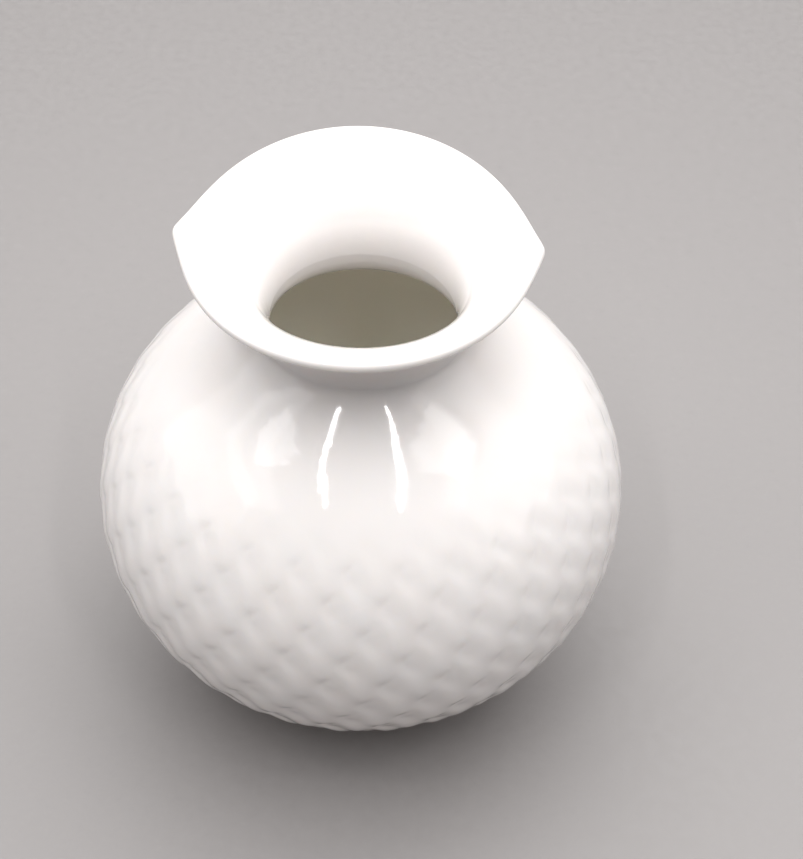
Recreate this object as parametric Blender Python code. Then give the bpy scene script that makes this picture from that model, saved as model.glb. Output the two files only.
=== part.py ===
"""Small white porcelain vase: a flattened round bulb on a low foot ring, with a drawn-in
neck and a wide flared mouth that is pulled out into two soft points, left and right.

Units are metres, +Z is up, the vase stands on z = 0 with its axis on the Z axis, and the
two points of the mouth lie along X. The vase is made as the four sections that a potter
lutes together before firing: foot ring, base, bulb and mouth.
"""
import math

import bmesh
import bpy

# ---- Driving dimensions -------------------------------------------------------------
BULB_RADIUS = 0.075          # outer radius at the widest level
BULB_HALF_HEIGHT = 0.064     # half height of the outer spheroid
BULB_CENTRE_Z = 0.0635       # height of the widest level
WALL = 0.004                 # wall of the bulb

BASE_HOLE_RADIUS = 0.030     # opening in the bulb's underside that the base fills
BASE_UNDERSIDE_Z = 0.0022    # recess of the base above the table
BASE_FLOOR_Z = 0.0064        # height of the inner floor at the axis
BASE_DISH_POWER = 4.3        # how late the inner floor curls up into the wall
BASE_CHAMFER = 0.0008        # on the base's lower edge

FOOT_INNER_RADIUS = 0.030
FOOT_OUTER_RADIUS = 0.0334
FOOT_TOP_RADIUS = 0.0348
FOOT_EDGE = 0.0006           # chamfer on both edges of the standing face
FOOT_SPREAD_POWER = 3        # how late the foot's outer side swings out into the bulb

NECK_OUTER_RADIUS = 0.028    # at the narrowest level
NECK_WALL = 0.0036
NECK_Z = 0.1278              # joint between bulb and mouth, where the neck meets the shoulder
INNER_FILLET = 0.0112        # inner radius from neck to shoulder
SHOULDER_RADIUS = 0.047      # where the shoulder leaves the spheroid and sweeps up
SHOULDER_PULL = 0.006        # how far the sweep follows the spheroid's slope there
NECK_SLOPE = math.radians(56)    # steepness of the sweep where it meets the neck
NECK_PULL = 0.006            # how far the sweep follows that slope

RIM_RADIUS = 0.0457          # middle of the lip at the front and the back
RIM_SIDE_RADIUS = 0.0417     # the same at the sides, before the points are pulled out
RIM_Z = 0.1528               # height of the middle of the lip at the front and the back
RIM_SIDE_DROP = 0.0025       # the rim dips this much at the sides
FLARE_ROOT_Z = 0.1281        # where the flare's curve is upright, just over the joint
LIP_RADIUS = 0.0015          # half of the lip's thickness
FLARE_SWEEP = math.radians(65)   # turn of the flare from upright towards level

POINT_PULL = 0.0041          # how far each point is pulled out of the oval
POINT_RISE = 0.0021          # how far each point is lifted
POINT_WIDTH = 0.21           # how quickly a point dies away round the rim, in radians
POINT_ROUNDING = 0.04        # softening of the very tip, in radians
POINT_DEPTH = 1.8            # how quickly a point dies away down the flare
MOUTH_LEAN = -0.0019         # the fired mouth leans this far towards -X at the rim
LEAN_START_Z = 0.1211        # the lean begins here

JOINT_GAP = 0.0003           # clearance left between neighbouring sections

# ---- Fineness of the facets ---------------------------------------------------------
SEGMENTS = 60                # round the vase
OUTSIDE_STEPS = 16           # up the bulb's outer side
INSIDE_STEPS = 14            # up the bulb's inner side
FILLET_STEPS = 5             # from the inner wall to the neck
SHOULDER_STEPS = 9           # from the shoulder to the neck, outside
FLARE_STEPS = 10             # from the neck to the lip
LIP_STEPS = 6                # round the lip
BASE_STEPS = 8               # from the axis to the edge of the base
FOOT_STEPS = 4               # across the foot ring's top and up its side

# ---- Worked-out levels --------------------------------------------------------------
INNER_RADIUS = BULB_RADIUS - WALL
INNER_HALF_HEIGHT = BULB_HALF_HEIGHT - WALL
NECK_INNER_RADIUS = NECK_OUTER_RADIUS - NECK_WALL
NECK_MIDDLE_RADIUS = NECK_OUTER_RADIUS - 0.5 * NECK_WALL


def spheroid_z(radius, half_width, half_height, side):
    """Height of a spheroid round the bulb's centre, above (side 1) or below (side -1)."""
    drop = math.sqrt(1.0 - (radius / half_width) ** 2)
    return BULB_CENTRE_Z + side * half_height * drop


def fillet_contact():
    """Inner spheroid angle where the fillet from the neck touches it, and the height of
    the fillet's centre."""
    low, high = 0.3, 1.5
    for _ in range(60):
        angle = 0.5 * (low + high)
        normal_r = math.cos(angle) / INNER_RADIUS
        normal_z = math.sin(angle) / INNER_HALF_HEIGHT
        length = math.hypot(normal_r, normal_z)
        reach = INNER_RADIUS * math.cos(angle) + INNER_FILLET * normal_r / length
        if reach > NECK_INNER_RADIUS + INNER_FILLET:
            low = angle
        else:
            high = angle
    height = INNER_HALF_HEIGHT * math.sin(angle) + INNER_FILLET * normal_z / length
    return angle, BULB_CENTRE_Z + height


def arc(centre_r, centre_z, radius, start, end, steps):
    """Points (r, z) on a circle from angle start to angle end, both included."""
    points = []
    for step in range(steps + 1):
        angle = start + (end - start) * step / steps
        points.append((centre_r + radius * math.cos(angle), centre_z + radius * math.sin(angle)))
    return points


def spheroid_arc(half_width, half_height, start, end, steps):
    """Points (r, z) on a spheroid round the bulb's centre, both ends included."""
    points = []
    for step in range(steps + 1):
        angle = start + (end - start) * step / steps
        points.append((half_width * math.cos(angle), BULB_CENTRE_Z + half_height * math.sin(angle)))
    return points


def inner_side():
    """Inner side of the bulb's wall from the hole in its underside up to the neck."""
    contact, centre_z = fillet_contact()
    bottom = -math.acos(BASE_HOLE_RADIUS / INNER_RADIUS)
    wall = spheroid_arc(INNER_RADIUS, INNER_HALF_HEIGHT, bottom, contact, INSIDE_STEPS)
    normal = math.atan2(math.sin(contact) / INNER_HALF_HEIGHT, math.cos(contact) / INNER_RADIUS)
    neck = arc(NECK_INNER_RADIUS + INNER_FILLET, centre_z, INNER_FILLET,
               math.pi + normal, math.pi, FILLET_STEPS)
    return wall + neck[1:]


def shoulder_sweep():
    """Points (r, z) of the curve from the spheroid's slope to the foot of the neck, outside."""
    start_z = spheroid_z(SHOULDER_RADIUS, BULB_RADIUS, BULB_HALF_HEIGHT, 1)
    slope = ((BULB_HALF_HEIGHT / BULB_RADIUS) ** 2 * SHOULDER_RADIUS
             / (start_z - BULB_CENTRE_Z))
    length = math.hypot(1.0, slope)
    handles = ((SHOULDER_RADIUS, start_z),
               (SHOULDER_RADIUS - SHOULDER_PULL / length,
                start_z + SHOULDER_PULL * slope / length),
               (NECK_OUTER_RADIUS + NECK_PULL * math.cos(NECK_SLOPE),
                NECK_Z - NECK_PULL * math.sin(NECK_SLOPE)),
               (NECK_OUTER_RADIUS, NECK_Z))
    points = []
    for step in range(SHOULDER_STEPS + 1):
        share = step / SHOULDER_STEPS
        rest = 1.0 - share
        weights = (rest ** 3, 3 * rest ** 2 * share, 3 * rest * share ** 2, share ** 3)
        points.append(tuple(sum(weight * handle[axis] for weight, handle in zip(weights, handles))
                            for axis in (0, 1)))
    return points


def outer_side():
    """Outer side of the bulb's wall from the hole in its underside up to the neck."""
    bottom = -math.acos(BASE_HOLE_RADIUS / BULB_RADIUS)
    shoulder = math.acos(SHOULDER_RADIUS / BULB_RADIUS)
    wall = spheroid_arc(BULB_RADIUS, BULB_HALF_HEIGHT, bottom, shoulder, OUTSIDE_STEPS)
    return wall + shoulder_sweep()[1:]


def bulb_outline():
    """Closed (r, z) outline of the bulb's wall, outside first, bottom to top."""
    outside = outer_side()
    inside = inner_side()
    joint_z = NECK_Z - 0.5 * JOINT_GAP
    outside[-1] = (NECK_OUTER_RADIUS, joint_z)
    inside[-1] = (NECK_INNER_RADIUS, joint_z)
    return outside + inside[::-1]


def base_outline():
    """Open (r, z) outline of the base, from the axis under it, round, and back on top."""
    radius = BASE_HOLE_RADIUS - JOINT_GAP
    edge_z = spheroid_z(BASE_HOLE_RADIUS, INNER_RADIUS, INNER_HALF_HEIGHT, -1)
    outline = [(0.0, BASE_UNDERSIDE_Z),
               (0.5 * radius, BASE_UNDERSIDE_Z),
               (radius - BASE_CHAMFER, BASE_UNDERSIDE_Z),
               (radius, BASE_UNDERSIDE_Z + BASE_CHAMFER)]
    for step in range(BASE_STEPS, -1, -1):
        share = step / BASE_STEPS
        lift = (edge_z - BASE_FLOOR_Z) * share ** BASE_DISH_POWER
        outline.append((radius * share, BASE_FLOOR_Z + lift))
    return outline


def foot_outline():
    """Closed (r, z) outline of the foot ring; its top follows the bulb's underside."""
    outline = [(FOOT_INNER_RADIUS, FOOT_EDGE),
               (FOOT_INNER_RADIUS + FOOT_EDGE, 0.0),
               (FOOT_OUTER_RADIUS - FOOT_EDGE, 0.0),
               (FOOT_OUTER_RADIUS, FOOT_EDGE)]
    top_z = spheroid_z(FOOT_TOP_RADIUS, BULB_RADIUS, BULB_HALF_HEIGHT, -1) - JOINT_GAP
    spread = FOOT_TOP_RADIUS - FOOT_OUTER_RADIUS
    for step in range(1, FOOT_STEPS):
        share = step / FOOT_STEPS
        outline.append((FOOT_OUTER_RADIUS + spread * share ** FOOT_SPREAD_POWER,
                        FOOT_EDGE + (top_z - FOOT_EDGE) * share))
    for step in range(FOOT_STEPS + 1):
        radius = FOOT_TOP_RADIUS + (FOOT_INNER_RADIUS - FOOT_TOP_RADIUS) * step / FOOT_STEPS
        outline.append((radius, spheroid_z(radius, BULB_RADIUS, BULB_HALF_HEIGHT, -1) - JOINT_GAP))
    return outline


def flare_outline():
    """Closed (r, z) outline of the mouth's wall at the front: up the outside, round the
    lip and down the inside."""
    joint_z = NECK_Z + 0.5 * JOINT_GAP
    reach = (RIM_RADIUS - NECK_MIDDLE_RADIUS) / (1.0 - math.cos(FLARE_SWEEP))
    rise = (RIM_Z - FLARE_ROOT_Z) / math.sin(FLARE_SWEEP)
    start = math.asin((joint_z - FLARE_ROOT_Z) / rise)
    outside, inside = [(NECK_OUTER_RADIUS, joint_z)], [(NECK_INNER_RADIUS, joint_z)]
    for step in range(1, FLARE_STEPS + 1):
        angle = start + (FLARE_SWEEP - start) * step / FLARE_STEPS
        share = angle / FLARE_SWEEP
        radius = NECK_MIDDLE_RADIUS + reach * (1.0 - math.cos(angle))
        height = FLARE_ROOT_Z + rise * math.sin(angle)
        along = math.atan2(rise * math.cos(angle), reach * math.sin(angle))
        half_wall = 0.5 * NECK_WALL + (LIP_RADIUS - 0.5 * NECK_WALL) * share
        outside.append((radius + half_wall * math.sin(along), height - half_wall * math.cos(along)))
        inside.append((radius - half_wall * math.sin(along), height + half_wall * math.cos(along)))
    quarter = 0.5 * math.pi
    lip = arc(radius, height, LIP_RADIUS, along - quarter, along + quarter, LIP_STEPS)
    return outside[:-1] + lip + inside[-2::-1]


def rim_oval(angle):
    """Radius of the lip's middle line round the vase, without the two points."""
    return 1.0 / math.hypot(math.cos(angle) / RIM_SIDE_RADIUS, math.sin(angle) / RIM_RADIUS)


def point_strength(angle):
    """1 at the very tip of either point, dying away on both sides of it."""
    off_point = math.acos(min(1.0, abs(math.cos(angle))))
    return math.exp(-math.hypot(off_point, POINT_ROUNDING) / POINT_WIDTH)


def shape_mouth(bm):
    """Turn the round flare into the oval mouth with its two raised points."""
    for vert in bm.verts:
        radius = math.hypot(vert.co.x, vert.co.y)
        angle = math.atan2(vert.co.y, vert.co.x)
        spread = (radius - NECK_MIDDLE_RADIUS) / (RIM_RADIUS - NECK_MIDDLE_RADIUS)
        spread = max(0.0, min(1.0, spread))
        height_share = max(0.0, min(1.0, (vert.co.z - FLARE_ROOT_Z) / (RIM_Z - FLARE_ROOT_Z)))
        point = point_strength(angle) * spread ** POINT_DEPTH
        radius += (rim_oval(angle) - RIM_RADIUS) * spread + POINT_PULL * point
        vert.co.x = radius * math.cos(angle)
        vert.co.y = radius * math.sin(angle)
        vert.co.z -= RIM_SIDE_DROP * math.cos(angle) ** 2 * height_share ** 2
        vert.co.z += POINT_RISE * point


def lean(bm):
    """Shear the neck and the mouth towards one side, from nothing at the shoulder."""
    for vert in bm.verts:
        share = (vert.co.z - LEAN_START_Z) / (RIM_Z - LEAN_START_Z)
        vert.co.x += MOUTH_LEAN * max(0.0, share)


def glaze(name, colour, roughness):
    """A plain Principled material."""
    material = bpy.data.materials.new(name)
    material.use_nodes = True
    shader = material.node_tree.nodes["Principled BSDF"]
    shader.inputs["Base Color"].default_value = (*colour, 1.0)
    shader.inputs["Roughness"].default_value = roughness
    shader.inputs["Metallic"].default_value = 0.0
    return material


def turned(name, outline, closed, material, parent, reshape=()):
    """Spin an (r, z) outline round the Z axis into one closed, smooth-shaded object."""
    bm = bmesh.new()
    verts = [bm.verts.new((radius, 0.0, height)) for radius, height in outline]
    edges = [bm.edges.new(pair) for pair in zip(verts[:-1], verts[1:])]
    if closed:
        edges.append(bm.edges.new((verts[-1], verts[0])))
    bmesh.ops.spin(bm, geom=verts + edges, cent=(0, 0, 0), axis=(0, 0, 1),
                   angle=2.0 * math.pi, steps=SEGMENTS, use_duplicate=False)
    bmesh.ops.remove_doubles(bm, verts=bm.verts[:], dist=1e-6)
    for change in reshape:
        change(bm)
    bmesh.ops.recalc_face_normals(bm, faces=bm.faces[:])
    mesh = bpy.data.meshes.new(name)
    bm.to_mesh(mesh)
    bm.free()
    mesh.shade_smooth()
    mesh.set_sharp_from_angle(angle=math.radians(40))
    mesh.materials.append(material)
    piece = bpy.data.objects.new(name, mesh)
    bpy.context.collection.objects.link(piece)
    piece.parent = parent
    return piece


def main():
    for old in list(bpy.data.objects):
        bpy.data.objects.remove(old, do_unlink=True)
    vase = bpy.data.objects.new("vase", None)
    bpy.context.collection.objects.link(vase)
    white = (0.86, 0.85, 0.83)
    turned("foot_ring", foot_outline(), True, glaze("foot_bisque", (0.78, 0.75, 0.70), 0.7), vase)
    turned("base", base_outline(), False, glaze("base_glaze", white, 0.12), vase)
    turned("bulb", bulb_outline(), True, glaze("bulb_glaze", white, 0.08), vase, (lean,))
    turned("mouth", flare_outline(), True, glaze("mouth_glaze", white, 0.08), vase,
           (shape_mouth, lean))


main()
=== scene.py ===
"""The looks of a small white porcelain vase: its pressed relief, its glaze and a studio.

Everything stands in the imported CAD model's frame: metres, +Z up, the foot on z = 0, the
vase's axis on the Z axis, its front towards -Y and the two points of its mouth along X.
Each CAD section is replaced by a fine surface of the same shape, which adds the relief
of hollows in slanting rows round the bulb.
"""
import math

import bpy
import numpy as np
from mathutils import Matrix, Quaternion, Vector


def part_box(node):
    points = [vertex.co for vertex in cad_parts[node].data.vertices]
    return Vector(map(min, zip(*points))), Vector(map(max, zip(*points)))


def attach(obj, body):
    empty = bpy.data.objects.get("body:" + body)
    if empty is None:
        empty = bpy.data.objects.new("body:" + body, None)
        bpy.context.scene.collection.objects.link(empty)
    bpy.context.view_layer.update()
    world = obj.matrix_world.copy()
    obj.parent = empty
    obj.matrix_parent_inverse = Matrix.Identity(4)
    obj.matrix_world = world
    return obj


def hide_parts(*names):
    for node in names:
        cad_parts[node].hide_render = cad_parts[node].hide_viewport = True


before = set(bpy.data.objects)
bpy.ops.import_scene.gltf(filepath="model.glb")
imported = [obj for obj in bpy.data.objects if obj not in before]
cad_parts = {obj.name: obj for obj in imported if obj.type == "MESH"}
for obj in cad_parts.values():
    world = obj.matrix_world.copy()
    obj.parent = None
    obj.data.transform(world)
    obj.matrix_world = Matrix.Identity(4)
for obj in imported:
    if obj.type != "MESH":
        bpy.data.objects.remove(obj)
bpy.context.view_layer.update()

# ---- Sizes read from the CAD frame --------------------------------------------------
_, bulb_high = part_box("bulb")
base_low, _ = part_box("base")
_, foot_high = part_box("foot_ring")
BULB_RADIUS = bulb_high.y
BASE_UNDERSIDE_Z = base_low.z
FOOT_TOP_RADIUS = foot_high.y

# ---- The rest of the CAD model's shape, with the same values ------------------------
BULB_HALF_HEIGHT = 0.064
BULB_CENTRE_Z = 0.0635
WALL = 0.004
BASE_HOLE_RADIUS = 0.030
BASE_FLOOR_Z = 0.0064
BASE_DISH_POWER = 4.3
BASE_CHAMFER = 0.0008
FOOT_INNER_RADIUS = 0.030
FOOT_OUTER_RADIUS = 0.0334
FOOT_SPREAD_POWER = 3
NECK_OUTER_RADIUS = 0.028
NECK_WALL = 0.0036
NECK_Z = 0.1278
INNER_FILLET = 0.0112
SHOULDER_RADIUS = 0.047
SHOULDER_PULL = 0.006
NECK_SLOPE = math.radians(56)
NECK_PULL = 0.006
RIM_RADIUS = 0.0457
RIM_SIDE_RADIUS = 0.0417
RIM_Z = 0.1528
RIM_SIDE_DROP = 0.0025
FLARE_ROOT_Z = 0.1281
LIP_RADIUS = 0.0015
FLARE_SWEEP = math.radians(65)
POINT_PULL = 0.0041
POINT_RISE = 0.0021
POINT_WIDTH = 0.21
POINT_ROUNDING = 0.04
POINT_DEPTH = 1.8
MOUTH_LEAN = -0.0019
LEAN_START_Z = 0.1211
INNER_RADIUS = BULB_RADIUS - WALL
INNER_HALF_HEIGHT = BULB_HALF_HEIGHT - WALL
NECK_INNER_RADIUS = NECK_OUTER_RADIUS - NECK_WALL
NECK_MIDDLE_RADIUS = NECK_OUTER_RADIUS - 0.5 * NECK_WALL

# ---- Softer than in the CAD model ---------------------------------------------------
FOOT_ROUNDING = 0.0007       # of the foot's two lower edges
LEAN_EASE = 0.1              # of the start of the lean, as a share of its height
PROFILE_EASE = 0.0009        # of the joins between the profile's arcs

# ---- The relief: hollows in slanting rows -------------------------------------------
COLUMNS = 30                 # hollows round the bulb
COLUMN_ANGLE = math.radians(360 / COLUMNS)
FIRST_COLUMN = math.radians(3.7)     # azimuth of a hollow, from the front towards +X
FIRST_ROW = 0.048            # its distance above the widest level, along the wall
ROW_HEIGHT = 0.0085
ROW_SHIFT = 3                # rows until the pattern has moved by a whole column
RELIEF_DEPTH = (0.00040, 0.00085)    # from hollow to crest, near the top and further down
RELIEF_DEEPENS = (0.030, -0.030)     # between these distances above the widest level
RELIEF_PRESSED = 0.9         # share of the depth that lies inside the CAD model's wall
RELIEF_TOP = (0.030, 0.053)  # it dies away between these distances above the widest level
RELIEF_BOTTOM = (0.066, 0.075)       # and between these below it
RELIEF_OUTSIDE = (0.97, 0.985)       # none below, all above, in sizes of the outer spheroid
# Each hollow is pressed in three strokes. For each: its middle in cells across and down,
# its tilt, its half length and half width, and its depth. These come from a program that
# fitted three strokes to the photographed relief. They were rounded, and then the first
# stroke, all but its place down, and the second one's width were changed.
STROKES = (
    ((0.07, 0.12), math.radians(50), 0.0015, 0.0008, 0.30),
    ((0.05, 0.42), math.radians(-55), 0.0030, 0.0016, 0.66),
    ((-0.07, 1.34), math.radians(-81), 0.0062, 0.0022, 0.80),
)

# ---- Fineness of the meshes ---------------------------------------------------------
BULB_SEGMENTS = 720
MOUTH_SEGMENTS = 360
LOWER_SEGMENTS = 240
OUTSIDE_STEP = 0.0006        # along the bulb's relief
INSIDE_STEP = 0.0025
MOUTH_STEP = 0.0007
SEAM_STEP = 0.00005          # short last step, so that two sections meet without a crease
EASE_STEPS = 8               # profile points to each ease length
EASE_REACH = 4               # ease lengths that count on either side of a point
SHARP_ANGLE = math.radians(50)       # edges sharper than this aren't shaded smooth
TILE_ACROSS = 128
TILE_DOWN = 216
UNDERSIDE_STEP = 0.003
WALL_POINTS = 400
SWEEP_POINTS = 120
FLARE_POINTS = 160
BASE_POINTS = 24
FOOT_SIDE_POINTS = 14
FOOT_TOP_POINTS = 8
WALL_GRID_POINTS = 2001      # for the distance along the outer wall
FILLET_STEPS = 60
LIP_STEPS = 24
EDGE_STEPS = 5
CONTACT_RANGE = (0.3, 1.5)   # spheroid angles between which the fillet meets the inner wall
HALVINGS = 60                # of that range

# ---- View and light -----------------------------------------------------------------
CAMERA_AZIMUTH = math.radians(3.2)
CAMERA_ELEVATION = math.radians(48)
CAMERA_DISTANCE = 0.450
CAMERA_ROLL = math.radians(0.9)
CAMERA_AIM = (0.0115, 0.0146)        # right of the bulb's centre and above it, in the view
CAMERA_LENS = 64.8
CAMERA_SENSOR = 36.0         # with CAMERA_LENS, in millimetres
CAMERA_NEAREST = 0.01
SHOULDER_POINT = Vector((0.0, -0.03, 0.12))     # what the lights are set out from
# Level panels, facing down. Their places and sizes are shares of their height above the
# shoulder, along X and Y, and their strengths are radiances. The strips and boxes stand
# about where the photographed reflections trace back to.
PANEL_HEIGHT = 0.6
STRIP_RADIANCE = 48.0        # of the two strips that give the upright reflections
STRIP_WIDTH = 0.043
STRIP_NEAR = -0.79
STRIP_FAR = -0.33
LEFT_STRIP_X = -0.305        # of its left edge
RIGHT_STRIP_X = 0.333
RIGHT_STRIP_TURN = math.radians(12.4)
BOX_RADIANCE = 1.3
LEFT_BOX = ((-1.34, -0.90), (-0.74, 0.05))      # near left and far right corner
LEFT_BOX_TURN = math.radians(-6)
RIGHT_BOX = ((0.735, -0.72), (1.065, 0.03))
RIGHT_BOX_TURN = math.radians(12)
CEILING_RADIANCE = 3.0
CEILING_HEIGHT = 1.1
CEILING = ((-0.88, -0.34), (0.92, 1.1))
# Panels that face the shoulder: place from the shoulder and size in metres, and watts.
BACK_PLACE = Vector((0.15, 0.6, 0.6))
BACK_SIZE = (1.0, 0.5)
BACK_WATTS = 2.2
SIDE_REACH = 0.9
SIDE_PLACE = Vector((0.0, -0.1, 0.45))
SIDE_SIZE = (0.9, 0.6)
LEFT_WATTS = 1.7
RIGHT_WATTS = 1.4
SKY_COLOUR = (1.0, 0.995, 0.985, 1.0)
SKY_STRENGTH = 0.06
FLOOR_HALF_WIDTH = 4.0


# ---- Profiles -----------------------------------------------------------------------
def spheroid_z(radius, half_width, half_height, side):
    """Height of a spheroid round the bulb's centre, above (side 1) or below (side -1)."""
    return BULB_CENTRE_Z + side * half_height * np.sqrt(1.0 - (radius / half_width) ** 2)


def arc(centre_r, centre_z, radius, start, end, steps):
    """Points (r, z) on a circle from angle start to angle end, both included."""
    angle = np.linspace(start, end, steps + 1)
    return np.stack([centre_r + radius * np.cos(angle), centre_z + radius * np.sin(angle)], 1)


def spheroid_line(half_width, half_height, end):
    """(r, z) line up a spheroid from the hole in the underside to the angle end."""
    angle = np.linspace(-math.acos(BASE_HOLE_RADIUS / half_width), end, WALL_POINTS)
    return np.stack([half_width * np.cos(angle), BULB_CENTRE_Z + half_height * np.sin(angle)], 1)


def inner_side():
    """(r, z) line up the inner wall and round the fillet to the upright neck."""
    low, high = CONTACT_RANGE
    for _ in range(HALVINGS):
        contact = 0.5 * (low + high)
        normal_r = math.cos(contact) / INNER_RADIUS
        normal_z = math.sin(contact) / INNER_HALF_HEIGHT
        length = math.hypot(normal_r, normal_z)
        reach = INNER_RADIUS * math.cos(contact) + INNER_FILLET * normal_r / length
        if reach > NECK_INNER_RADIUS + INNER_FILLET:
            low = contact
        else:
            high = contact
    centre_z = BULB_CENTRE_Z + INNER_HALF_HEIGHT * math.sin(contact)
    centre_z += INNER_FILLET * normal_z / length
    neck = arc(NECK_INNER_RADIUS + INNER_FILLET, centre_z, INNER_FILLET,
               math.pi + math.atan2(normal_z, normal_r), math.pi, FILLET_STEPS)
    return np.concatenate([spheroid_line(INNER_RADIUS, INNER_HALF_HEIGHT, contact), neck[1:]])


def outer_side():
    """(r, z) line up the outer wall and along the shoulder's sweep to the foot of the neck."""
    start_z = spheroid_z(SHOULDER_RADIUS, BULB_RADIUS, BULB_HALF_HEIGHT, 1)
    slope = (BULB_HALF_HEIGHT / BULB_RADIUS) ** 2 * SHOULDER_RADIUS / (start_z - BULB_CENTRE_Z)
    start = np.array([SHOULDER_RADIUS, start_z])
    end = np.array([NECK_OUTER_RADIUS, NECK_Z])
    first = start + np.array([-1.0, slope]) / math.hypot(1.0, slope) * SHOULDER_PULL
    second = end + np.array([math.cos(NECK_SLOPE), -math.sin(NECK_SLOPE)]) * NECK_PULL
    share = np.linspace(0.0, 1.0, SWEEP_POINTS)[:, None]
    rest = 1.0 - share
    sweep = rest ** 3 * start + 3 * rest ** 2 * share * first
    sweep += 3 * rest * share ** 2 * second + share ** 3 * end
    wall = spheroid_line(BULB_RADIUS, BULB_HALF_HEIGHT, math.acos(SHOULDER_RADIUS / BULB_RADIUS))
    return np.concatenate([wall, sweep[1:]])


def flare_lines():
    """(r, z) lines of the mouth's wall at the front: outside upwards, lip, inside upwards."""
    reach = (RIM_RADIUS - NECK_MIDDLE_RADIUS) / (1.0 - math.cos(FLARE_SWEEP))
    rise = (RIM_Z - FLARE_ROOT_Z) / math.sin(FLARE_SWEEP)
    share = np.linspace(0.0, 1.0, FLARE_POINTS)
    angle = FLARE_SWEEP * share
    middle_r = NECK_MIDDLE_RADIUS + reach * (1.0 - np.cos(angle))
    middle_z = FLARE_ROOT_Z + rise * np.sin(angle)
    along = np.arctan2(rise * np.cos(angle), reach * np.sin(angle))
    half_wall = 0.5 * NECK_WALL + (LIP_RADIUS - 0.5 * NECK_WALL) * share
    aside = np.stack([half_wall * np.sin(along), -half_wall * np.cos(along)], 1)
    middle = np.stack([middle_r, middle_z], 1)
    quarter = 0.5 * math.pi
    start, end = along[-1] - quarter, along[-1] + quarter
    lip = arc(middle_r[-1], middle_z[-1], LIP_RADIUS, start, end, LIP_STEPS)
    return middle + aside, lip, middle - aside


def resampled(line, step):
    """The same line with evenly spaced points, about one step apart."""
    run = np.concatenate([[0.0], np.cumsum(np.hypot(*np.diff(line, axis=0).T))])
    at = np.linspace(0.0, run[-1], max(2, round(run[-1] / step)) + 1)
    return np.stack([np.interp(at, run, line[:, 0]), np.interp(at, run, line[:, 1])], 1)


def eased(line, spread):
    """The line with its changes of curvature evened out; both ends stay where they are."""
    fine = resampled(line, spread / EASE_STEPS)
    reach = EASE_REACH * EASE_STEPS
    before = 2 * fine[0] - fine[reach:0:-1]
    after = 2 * fine[-1] - fine[-2:-reach - 2:-1]
    padded = np.concatenate([before, fine, after])
    weight = np.exp(-0.5 * (np.arange(-reach, reach + 1) / EASE_STEPS) ** 2)
    weight /= weight.sum()
    return np.stack([np.convolve(padded[:, axis], weight, "valid") for axis in (0, 1)], 1)


def split_at(line, height):
    """Two lines, below and above the height, both with the point where it is crossed."""
    above = int(np.argmax(line[:, 1] > height))
    low, high = line[above - 1], line[above]
    share = (height - low[1]) / (high[1] - low[1])
    crossing = (low + (high - low) * share)[None]
    return np.concatenate([line[:above], crossing]), np.concatenate([crossing, line[above:]])


def with_seam_step(line, at_start):
    """The line with one more point close to one end, for the seam between two sections."""
    end, inner = (line[0], line[1]) if at_start else (line[-1], line[-2])
    close = end + (inner - end) * SEAM_STEP / np.hypot(*(inner - end))
    if at_start:
        return np.concatenate([line[:1], close[None], line[1:]])
    return np.concatenate([line[:-1], close[None], line[-1:]])


flare_outside, lip_line, flare_inside = flare_lines()
outer_line = eased(np.concatenate([outer_side(), flare_outside]), PROFILE_EASE)
inner_line = eased(np.concatenate([inner_side(), flare_inside]), PROFILE_EASE)
bulb_outside, mouth_outside = split_at(outer_line, NECK_Z)
bulb_inside, mouth_inside = split_at(inner_line, NECK_Z)


# ---- Turning a profile into a mesh --------------------------------------------------
def turned(name, profile, segments, reshape, closed=True):
    """A surface of revolution as an object. The profile is (r, z) from the outside round to
    the inside; if it isn't closed, its first and last points lie on the axis."""
    rings = profile if closed else profile[1:-1]
    count = len(rings)
    azimuth = np.arange(segments) * (2 * math.pi / segments)
    radius = np.repeat(rings[:, 0], segments)
    height = np.repeat(rings[:, 1], segments)
    azimuth = np.tile(azimuth, count)
    points = np.stack([radius * np.sin(azimuth), -radius * np.cos(azimuth), height], 1)
    for change in reshape:
        points = change(points)
    ring = np.arange(count if closed else count - 1)
    here = (ring * segments)[:, None] + np.arange(segments)
    there = ((ring + 1) % count * segments)[:, None] + np.arange(segments)
    beside = (np.arange(segments) + 1) % segments
    quads = np.stack([here, here[:, beside], there[:, beside], there], 2).reshape(-1, 4)
    faces = quads.tolist()
    if not closed:
        ends = np.array([[0.0, 0.0, profile[0, 1]], [0.0, 0.0, profile[-1, 1]]])
        points = np.concatenate([points, ends])
        first, last = count * segments, count * segments + 1
        edge = np.arange(segments)
        faces += np.stack([np.full(segments, first), edge[beside], edge], 1).tolist()
        edge = edge + (count - 1) * segments
        faces += np.stack([edge, edge[beside], np.full(segments, last)], 1).tolist()
    mesh = bpy.data.meshes.new(name)
    mesh.from_pydata(points.tolist(), [], faces)
    mesh.validate()
    mesh.shade_smooth()
    mesh.set_sharp_from_angle(angle=SHARP_ANGLE)
    piece = bpy.data.objects.new(name, mesh)
    bpy.context.scene.collection.objects.link(piece)
    return piece


def smooth_step(value, start, end):
    """0 before start, 1 after end, and a smooth rise between them."""
    share = np.clip((value - start) / (end - start), 0.0, 1.0)
    return share * share * (3 - 2 * share)


def polar(points):
    """Radius and azimuth of the points; the azimuth runs from the front towards +X."""
    return np.hypot(points[:, 0], points[:, 1]), np.arctan2(points[:, 0], -points[:, 1])


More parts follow.
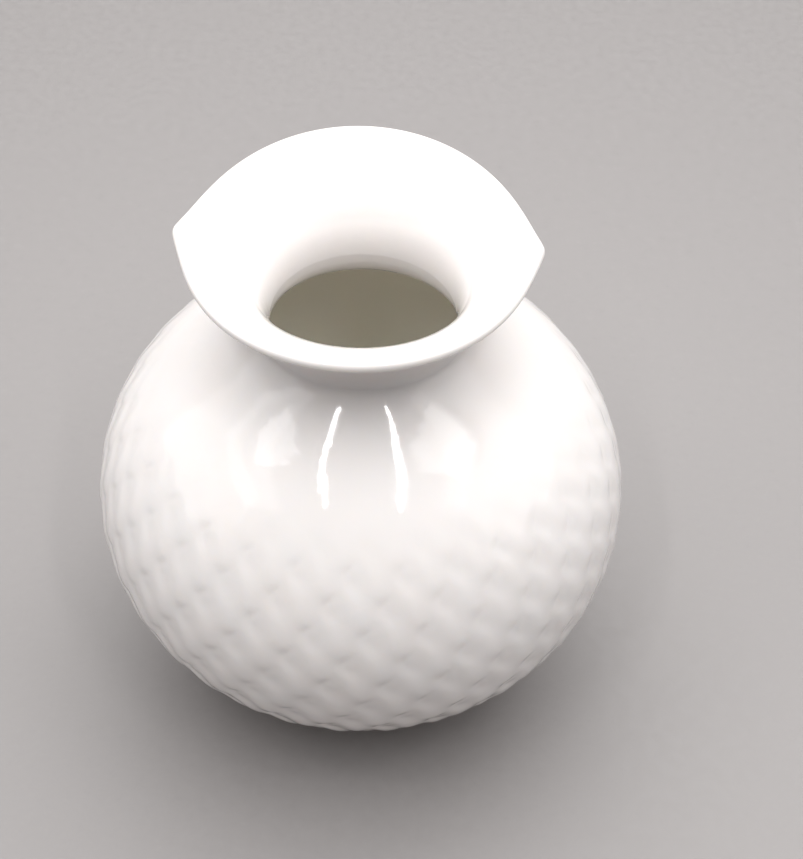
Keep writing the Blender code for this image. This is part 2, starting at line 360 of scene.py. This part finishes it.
def leaned(points):
    """The neck and the mouth shift towards one side, from nothing at the shoulder."""
    share = np.maximum(0.0, (points[:, 2] - LEAN_START_Z) / (RIM_Z - LEAN_START_Z))
    ease = np.hypot(share, LEAN_EASE) - LEAN_EASE
    moved = points.copy()
    moved[:, 0] += MOUTH_LEAN * ease / (math.hypot(1.0, LEAN_EASE) - LEAN_EASE)
    return moved


def mouth_shaped(points):
    """The round flare becomes the oval mouth with its two raised points."""
    radius, azimuth = polar(points)
    sideways = np.abs(np.sin(azimuth))
    spread = np.clip((radius - NECK_OUTER_RADIUS) / (RIM_RADIUS - NECK_OUTER_RADIUS), 0.0, 1.0)
    height_share = np.clip((points[:, 2] - FLARE_ROOT_Z) / (RIM_Z - FLARE_ROOT_Z), 0.0, 1.0)
    oval = 1.0 / np.hypot(sideways / RIM_SIDE_RADIUS, np.cos(azimuth) / RIM_RADIUS)
    off_point = np.arccos(np.clip(sideways, 0.0, 1.0))
    point = np.exp(-np.hypot(off_point, POINT_ROUNDING) / POINT_WIDTH) * spread ** POINT_DEPTH
    radius = radius + (oval - RIM_RADIUS) * spread + POINT_PULL * point
    height = points[:, 2] - RIM_SIDE_DROP * (sideways * height_share) ** 2 + POINT_RISE * point
    return np.stack([radius * np.sin(azimuth), -radius * np.cos(azimuth), height], 1)


# ---- The relief ---------------------------------------------------------------------
def relief_tile():
    """Height of the relief over one column and ROW_SHIFT rows, from 0 to 1. It repeats."""
    across = np.arange(TILE_ACROSS) / TILE_ACROSS
    down = np.arange(TILE_DOWN) / TILE_DOWN * ROW_SHIFT
    u, v = np.meshgrid(across, down)
    relief = np.zeros_like(u)
    for middle, tilt, length, width, depth in STROKES:
        for row in range(-ROW_SHIFT, 2 * ROW_SHIFT + 1):
            for column in range(-3, 6):
                x = COLUMN_ANGLE * BULB_RADIUS * (u - column + row / ROW_SHIFT - middle[0])
                y = ROW_HEIGHT * (row + middle[1] - v)
                along = x * math.cos(tilt) + y * math.sin(tilt)
                aside = y * math.cos(tilt) - x * math.sin(tilt)
                spread = (along / length) ** 2 + (aside / width) ** 2
                relief -= depth * np.exp(-0.5 * spread)
    return (relief - relief.min()) / (relief.max() - relief.min())


def tile_value(tile, u, v):
    """The tile at u columns and v rows, wrapped round and interpolated."""
    x = (u % 1.0) * TILE_ACROSS
    y = (v / ROW_SHIFT % 1.0) * TILE_DOWN
    x0, y0 = np.floor(x).astype(int), np.floor(y).astype(int)
    fx, fy = x - x0, y - y0
    x1, y1 = (x0 + 1) % TILE_ACROSS, (y0 + 1) % TILE_DOWN
    x0, y0 = x0 % TILE_ACROSS, y0 % TILE_DOWN
    top = tile[y0, x0] * (1 - fx) + tile[y0, x1] * fx
    bottom = tile[y1, x0] * (1 - fx) + tile[y1, x1] * fx
    return top * (1 - fy) + bottom * fy


def wall_distance(angle):
    """Distance along the outer wall from the widest level to a spheroid angle."""
    grid = np.linspace(-0.5 * math.pi, 0.5 * math.pi, WALL_GRID_POINTS)
    slope = np.hypot(BULB_RADIUS * np.sin(grid), BULB_HALF_HEIGHT * np.cos(grid))
    run = np.concatenate([[0.0], np.cumsum(0.5 * (slope[1:] + slope[:-1]) * np.diff(grid))])
    return np.interp(angle, grid, run - run[len(grid) // 2])


def carved(points):
    """The bulb's outer wall gets its relief, along the wall's own normal."""
    radius, azimuth = polar(points)
    height = (points[:, 2] - BULB_CENTRE_Z) / BULB_HALF_HEIGHT
    size = np.hypot(radius / BULB_RADIUS, height)
    angle = np.arctan2(height, radius / BULB_RADIUS)
    distance = wall_distance(angle)
    u = (azimuth - FIRST_COLUMN) / COLUMN_ANGLE
    v = (FIRST_ROW - distance) / ROW_HEIGHT
    raised = tile_value(relief_tile(), u, v) - RELIEF_PRESSED
    fade = 1 - smooth_step(distance, *RELIEF_TOP)
    fade = fade * (1 - smooth_step(-distance, *RELIEF_BOTTOM))
    outside = smooth_step(size, *RELIEF_OUTSIDE)
    deeper = smooth_step(-distance, -RELIEF_DEEPENS[0], -RELIEF_DEEPENS[1])
    depth = RELIEF_DEPTH[0] + (RELIEF_DEPTH[1] - RELIEF_DEPTH[0]) * deeper
    lift = depth * raised * fade * outside
    normal_r = np.cos(angle) / BULB_RADIUS
    normal_z = np.sin(angle) / BULB_HALF_HEIGHT
    length = np.hypot(normal_r, normal_z)
    side = lift * normal_r / length
    moved = points.copy()
    moved[:, 0] += side * np.sin(azimuth)
    moved[:, 1] -= side * np.cos(azimuth)
    moved[:, 2] += lift * normal_z / length
    return moved


# ---- Materials ----------------------------------------------------------------------
GLAZE_WHITE = (0.905, 0.865, 0.85)
GLAZE_WARM = (0.89, 0.84, 0.815)
GLAZE_COOL = (0.875, 0.848, 0.838)
# Painted light: a yellower colour on the inner walls for the warm light bounced round inside the
# bulb.
PAINTED_BOUNCE_INSIDE = (0.968, 0.934, 0.845)
GLAZE_ROUGHNESS = (0.045, 0.085)
GLAZE_IOR = 1.5
TINT_SHARE = 0.6             # how far the cool tint goes at the most
PAINTED_BOUNCE_ENDS = (1.003, 1.02)  # where the painted bounce tint inside ends, in sizes of the inner spheroid
SUBSURFACE = 0.12
SUBSURFACE_RADIUS = (0.0022, 0.0018, 0.0013)
BISQUE_LIGHT = (0.78, 0.735, 0.66)
BISQUE_DARK = (0.66, 0.60, 0.52)
BISQUE_ROUGHNESS = (0.65, 0.85)
BARE_HEIGHT = 0.0009         # of the foot's unglazed edge above the table
BARE_WAVER = 0.0003          # how far the glaze's lower line strays up and down
BARE_BLEND = 0.0002          # width of that line
FLOOR_DARK = (0.272, 0.256, 0.252)
FLOOR_LIGHT = (0.291, 0.274, 0.27)
FLOOR_ROUGHNESS = (0.5, 0.62)
# Noises: scale in cells per metre, detail, and roughness where it isn't a half.
CLOUDS = (22.0, 3.0)
TINTS = (61.0, 2.0)
GLOSS = (90.0, 3.0)
FOOT_LINE = (320.0, 3.0)
BISQUE_GRAIN = (900.0, 4.0, 0.7)
FLOOR_GRAIN = (260.0, 4.0, 0.6)
NOISE_SPAN = (0.3, 0.7)      # the values between which a noise mostly lies
FOOT_LINE_SPAN = (0.25, 0.75)
BISQUE_BUMP = (0.3, 0.00006)         # strength and distance
# Unevenness of the glaze: its noise, and the bump's strength and distance.
SWELL = ((160.0, 1.0), 0.5, 0.00011)
RIPPLE = ((430.0, 1.0), 0.45, 0.00005)
PINHOLES = ((1500.0, 2.0), 0.12, 0.00001)


def node(tree, kind, **values):
    """A new node of that kind, with its properties set."""
    made = tree.nodes.new(kind)
    for key, value in values.items():
        setattr(made, key, value)
    return made


def noise(tree, place, scale, detail, roughness=0.5):
    """Values of a noise at a place on the object."""
    made = node(tree, "ShaderNodeTexNoise")
    made.inputs["Scale"].default_value = scale
    made.inputs["Detail"].default_value = detail
    made.inputs["Roughness"].default_value = roughness
    tree.links.new(place, made.inputs["Vector"])
    return made.outputs["Fac"]


def remapped(tree, value, low, high, start=NOISE_SPAN[0], end=NOISE_SPAN[1]):
    """The value stretched so that start becomes low and end becomes high."""
    made = node(tree, "ShaderNodeMapRange")
    made.inputs["From Min"].default_value = start
    made.inputs["From Max"].default_value = end
    made.inputs["To Min"].default_value = low
    made.inputs["To Max"].default_value = high
    tree.links.new(value, made.inputs["Value"])
    return made.outputs["Result"]


def blended(tree, factor, first, second):
    """A colour between two; each is a colour or another node's output."""
    made = node(tree, "ShaderNodeMix", data_type="RGBA")
    tree.links.new(factor, made.inputs["Factor"])
    colours = [s for s in made.inputs if s.type == "RGBA"]
    for socket, value in zip(colours, (first, second)):
        if isinstance(value, tuple):
            socket.default_value = (*value, 1.0)
        else:
            tree.links.new(value, socket)
    return next(s for s in made.outputs if s.type == "RGBA")


def bump(tree, height, strength, distance, below=None):
    """A normal bumped by the height, on top of the normal below."""
    made = node(tree, "ShaderNodeBump")
    made.inputs["Strength"].default_value = strength
    made.inputs["Distance"].default_value = distance
    tree.links.new(height, made.inputs["Height"])
    if below is not None:
        tree.links.new(below, made.inputs["Normal"])
    return made.outputs["Normal"]


def new_material(name):
    """A material with its node tree, its shader and the place on the object."""
    material = bpy.data.materials.new(name)
    material.use_nodes = True
    tree = material.node_tree
    place = node(tree, "ShaderNodeTexCoord").outputs["Object"]
    return material, tree, tree.nodes["Principled BSDF"], place


def outside_share(tree, place):
    """0 on the inner wall of the bulb and of the base, 1 on their outside."""
    centred = node(tree, "ShaderNodeVectorMath", operation="SUBTRACT")
    centred.inputs[1].default_value = (0.0, 0.0, BULB_CENTRE_Z)
    tree.links.new(place, centred.inputs[0])
    scaled = node(tree, "ShaderNodeVectorMath", operation="DIVIDE")
    scaled.inputs[1].default_value = (INNER_RADIUS, INNER_RADIUS, INNER_HALF_HEIGHT)
    tree.links.new(centred.outputs["Vector"], scaled.inputs[0])
    size = node(tree, "ShaderNodeVectorMath", operation="LENGTH")
    tree.links.new(scaled.outputs["Vector"], size.inputs[0])
    return remapped(tree, size.outputs["Value"], 0.0, 1.0, *PAINTED_BOUNCE_ENDS)


def glaze_parts(tree, place):
    """Colour, roughness and surface of a clear glaze on white porcelain, with a painted yellower
    tint on the inner walls that stands in for the light bounced round inside the bulb."""
    cloud = remapped(tree, noise(tree, place, *CLOUDS), 0.0, 1.0)
    tint = remapped(tree, noise(tree, place, *TINTS), 0.0, TINT_SHARE)
    colour = blended(tree, cloud, GLAZE_WHITE, GLAZE_WARM)
    colour = blended(tree, tint, colour, GLAZE_COOL)
    # painted bounce light: the inner walls get the yellower tint
    colour = blended(tree, outside_share(tree, place), PAINTED_BOUNCE_INSIDE, colour)
    gloss = remapped(tree, noise(tree, place, *GLOSS), *GLAZE_ROUGHNESS)
    surface = None
    for grain, strength, distance in (SWELL, RIPPLE, PINHOLES):
        surface = bump(tree, noise(tree, place, *grain), strength, distance, below=surface)
    return colour, gloss, surface


def glaze(name):
    """The glazed porcelain of the bulb, the mouth and the base."""
    material, tree, shader, place = new_material(name)
    colour, gloss, surface = glaze_parts(tree, place)
    tree.links.new(colour, shader.inputs["Base Color"])
    tree.links.new(gloss, shader.inputs["Roughness"])
    tree.links.new(surface, shader.inputs["Normal"])
    shader.inputs["IOR"].default_value = GLAZE_IOR
    shader.inputs["Subsurface Weight"].default_value = SUBSURFACE
    shader.inputs["Subsurface Radius"].default_value = SUBSURFACE_RADIUS
    shader.inputs["Subsurface Scale"].default_value = 1.0
    return material


def foot_glaze(name):
    """Glaze down to a ragged line just above the table, and bare, ground bisque below it."""
    material, tree, shader, place = new_material(name)
    colour, gloss, surface = glaze_parts(tree, place)
    split = node(tree, "ShaderNodeSeparateXYZ")
    tree.links.new(place, split.inputs[0])
    line = noise(tree, place, *FOOT_LINE)
    ragged = remapped(tree, line, -BARE_WAVER, BARE_WAVER, *FOOT_LINE_SPAN)
    edge = node(tree, "ShaderNodeMath", operation="ADD")
    tree.links.new(split.outputs["Z"], edge.inputs[0])
    tree.links.new(ragged, edge.inputs[1])
    top = BARE_HEIGHT + BARE_BLEND
    glazed = remapped(tree, edge.outputs[0], 0.0, 1.0, BARE_HEIGHT, top)
    grain = noise(tree, place, *BISQUE_GRAIN)
    bare = blended(tree, remapped(tree, grain, 0.0, 1.0), BISQUE_LIGHT, BISQUE_DARK)
    tree.links.new(blended(tree, glazed, bare, colour), shader.inputs["Base Color"])
    rough = node(tree, "ShaderNodeMix", data_type="FLOAT")
    tree.links.new(glazed, rough.inputs[0])
    tree.links.new(remapped(tree, grain, *BISQUE_ROUGHNESS), rough.inputs[2])
    tree.links.new(gloss, rough.inputs[3])
    tree.links.new(rough.outputs[0], shader.inputs["Roughness"])
    ground = bump(tree, grain, *BISQUE_BUMP, below=surface)
    tree.links.new(ground, shader.inputs["Normal"])
    shader.inputs["IOR"].default_value = GLAZE_IOR
    return material


def floor_material(name):
    """A plain matt floor with a fine grain."""
    material, tree, shader, place = new_material(name)
    grain = remapped(tree, noise(tree, place, *FLOOR_GRAIN), 0.0, 1.0)
    colour = blended(tree, grain, FLOOR_DARK, FLOOR_LIGHT)
    tree.links.new(colour, shader.inputs["Base Color"])
    tree.links.new(remapped(tree, grain, *FLOOR_ROUGHNESS), shader.inputs["Roughness"])
    return material


# ---- The four sections --------------------------------------------------------------
def finished(piece, node_name, material):
    """Material, body and hidden CAD node of one section."""
    piece.data.materials.append(material)
    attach(piece, "root")
    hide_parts(node_name)
    return piece


def make_bulb():
    """The round body with its relief, hollow."""
    outside = with_seam_step(resampled(bulb_outside, OUTSIDE_STEP), at_start=False)
    inside = with_seam_step(resampled(bulb_inside, INSIDE_STEP), at_start=False)
    profile = np.concatenate([outside, inside[::-1]])
    piece = turned("bulb_glazed", profile, BULB_SEGMENTS, (carved, leaned))
    return finished(piece, "bulb", glaze("bulb_glaze"))


def make_mouth():
    """The flared mouth with its rounded lip and two points."""
    outside = with_seam_step(resampled(mouth_outside, MOUTH_STEP), at_start=True)
    inside = with_seam_step(resampled(mouth_inside, MOUTH_STEP), at_start=True)
    profile = np.concatenate([outside[:-1], lip_line, inside[-2::-1]])
    piece = turned("mouth_glazed", profile, MOUTH_SEGMENTS, (mouth_shaped, leaned))
    return finished(piece, "mouth", glaze("mouth_glaze"))


def make_base():
    """The dished floor of the vase, inside the foot ring."""
    radius = BASE_HOLE_RADIUS
    edge_z = spheroid_z(radius, INNER_RADIUS, INNER_HALF_HEIGHT, -1)
    under = resampled(np.array([[0.0, BASE_UNDERSIDE_Z],
                                [radius - BASE_CHAMFER, BASE_UNDERSIDE_Z]]), UNDERSIDE_STEP)
    side = arc(radius - BASE_CHAMFER, BASE_UNDERSIDE_Z + BASE_CHAMFER, BASE_CHAMFER,
               -0.5 * math.pi, 0.0, EDGE_STEPS)[1:]
    share = np.linspace(1.0, 0.0, BASE_POINTS)
    lift = (edge_z - BASE_FLOOR_Z) * share ** BASE_DISH_POWER
    floor = np.stack([radius * share, BASE_FLOOR_Z + lift], 1)
    profile = np.concatenate([under, side, floor])
    piece = turned("base_glazed", profile, LOWER_SEGMENTS, (), closed=False)
    return finished(piece, "base", glaze("base_glaze"))


def make_foot():
    """The ring that the vase stands on."""
    top_z = spheroid_z(FOOT_TOP_RADIUS, BULB_RADIUS, BULB_HALF_HEIGHT, -1)
    spread = FOOT_TOP_RADIUS - FOOT_OUTER_RADIUS
    share = np.linspace(0.0, 1.0, FOOT_SIDE_POINTS)[1:]
    side = np.stack([FOOT_OUTER_RADIUS + spread * share ** FOOT_SPREAD_POWER,
                     FOOT_ROUNDING + (top_z - FOOT_ROUNDING) * share], 1)
    inner = arc(FOOT_INNER_RADIUS + FOOT_ROUNDING, FOOT_ROUNDING, FOOT_ROUNDING,
                math.pi, 1.5 * math.pi, EDGE_STEPS)
    outer = arc(FOOT_OUTER_RADIUS - FOOT_ROUNDING, FOOT_ROUNDING, FOOT_ROUNDING,
                1.5 * math.pi, 2.0 * math.pi, EDGE_STEPS)
    radius = np.linspace(FOOT_TOP_RADIUS, FOOT_INNER_RADIUS, FOOT_TOP_POINTS)[1:]
    top = np.stack([radius, spheroid_z(radius, BULB_RADIUS, BULB_HALF_HEIGHT, -1)], 1)
    profile = np.concatenate([inner, outer, side, top])
    piece = turned("foot_ring_fine", profile, LOWER_SEGMENTS, ())
    return finished(piece, "foot_ring", foot_glaze("foot_glaze"))


# ---- Studio -------------------------------------------------------------------------
def make_floor():
    """A plain floor, which is the stage and not part of the vase."""
    mesh = bpy.data.meshes.new("studio_floor")
    half = FLOOR_HALF_WIDTH
    corners = [(-half, -half, 0.0), (half, -half, 0.0), (half, half, 0.0), (-half, half, 0.0)]
    mesh.from_pydata(corners, [], [(0, 1, 2, 3)])
    floor = bpy.data.objects.new("studio_floor", mesh)
    bpy.context.scene.collection.objects.link(floor)
    mesh.materials.append(floor_material("studio_floor"))


def soft_light(name, place, target, size, watts):
    """A rectangular area light at place, facing target; size is (across, along)."""
    data = bpy.data.lights.new(name, "AREA")
    data.shape = "RECTANGLE"
    data.size, data.size_y = size
    data.energy = watts
    light = bpy.data.objects.new(name, data)
    light.location = place
    facing = Vector(target) - Vector(place)
    light.rotation_euler = facing.to_track_quat("-Z", "Y").to_euler()
    light.visible_camera = False
    bpy.context.scene.collection.objects.link(light)
    return light


def overhead(name, radiance, low_corner, high_corner, height, turn=0.0):
    """A level panel facing down. Its corners are shares of its height above the shoulder."""
    across = (high_corner[0] - low_corner[0]) * height
    along = (high_corner[1] - low_corner[1]) * height
    middle = Vector((low_corner[0] + high_corner[0], low_corner[1] + high_corner[1], 2.0))
    place = SHOULDER_POINT + middle * 0.5 * height
    watts = radiance * math.pi * across * along
    light = soft_light(name, place, place - Vector((0.0, 0.0, 1.0)), (across, along), watts)
    light.rotation_euler.z += turn


def make_lights():
    """Soft panels, two narrow strips and a faint even sky."""
    strips = (("left_strip", LEFT_STRIP_X, 0.0), ("right_strip", RIGHT_STRIP_X, RIGHT_STRIP_TURN))
    for name, x, turn in strips:
        near, far = (x, STRIP_NEAR), (x + STRIP_WIDTH, STRIP_FAR)
        overhead(name, STRIP_RADIANCE, near, far, PANEL_HEIGHT, turn)
    overhead("left_box", BOX_RADIANCE, *LEFT_BOX, PANEL_HEIGHT, LEFT_BOX_TURN)
    overhead("right_box", BOX_RADIANCE, *RIGHT_BOX, PANEL_HEIGHT, RIGHT_BOX_TURN)
    overhead("ceiling", CEILING_RADIANCE, *CEILING, CEILING_HEIGHT)
    shoulder = SHOULDER_POINT
    soft_light("back_box", shoulder + BACK_PLACE, shoulder, BACK_SIZE, BACK_WATTS)
    for name, reach, watts in (("left_panel", -SIDE_REACH, LEFT_WATTS),
                               ("right_panel", SIDE_REACH, RIGHT_WATTS)):
        place = shoulder + SIDE_PLACE + Vector((reach, 0.0, 0.0))
        soft_light(name, place, shoulder, SIDE_SIZE, watts)
    world = bpy.data.worlds.new("studio")
    world.use_nodes = True
    sky = world.node_tree.nodes["Background"]
    sky.inputs["Color"].default_value = SKY_COLOUR
    sky.inputs["Strength"].default_value = SKY_STRENGTH
    bpy.context.scene.world = world


def make_camera():
    """The camera, looking down at the vase from the front."""
    back = Vector((math.sin(CAMERA_AZIMUTH) * math.cos(CAMERA_ELEVATION),
                   -math.cos(CAMERA_AZIMUTH) * math.cos(CAMERA_ELEVATION),
                   math.sin(CAMERA_ELEVATION)))
    data = bpy.data.cameras.new("camera")
    data.sensor_fit = "AUTO"
    data.sensor_width = CAMERA_SENSOR
    data.lens = CAMERA_LENS
    data.clip_start = CAMERA_NEAREST
    camera = bpy.data.objects.new("camera", data)
    centre = Vector((0.0, 0.0, BULB_CENTRE_Z))
    camera.location = centre + back * CAMERA_DISTANCE
    upright = (-back).to_track_quat("-Z", "Y")
    ahead = Vector((0.0, 0.0, -1.0))
    turn = ahead.rotation_difference(Vector((*CAMERA_AIM, -CAMERA_DISTANCE)))
    roll = Quaternion((0.0, 0.0, 1.0), CAMERA_ROLL)
    camera.rotation_mode = "QUATERNION"
    camera.rotation_quaternion = upright @ roll @ turn
    bpy.context.scene.collection.objects.link(camera)
    bpy.context.scene.camera = camera


make_bulb()
make_mouth()
make_base()
make_foot()
make_floor()
make_lights()
make_camera()
bpy.context.scene.view_settings.view_transform = "Standard"
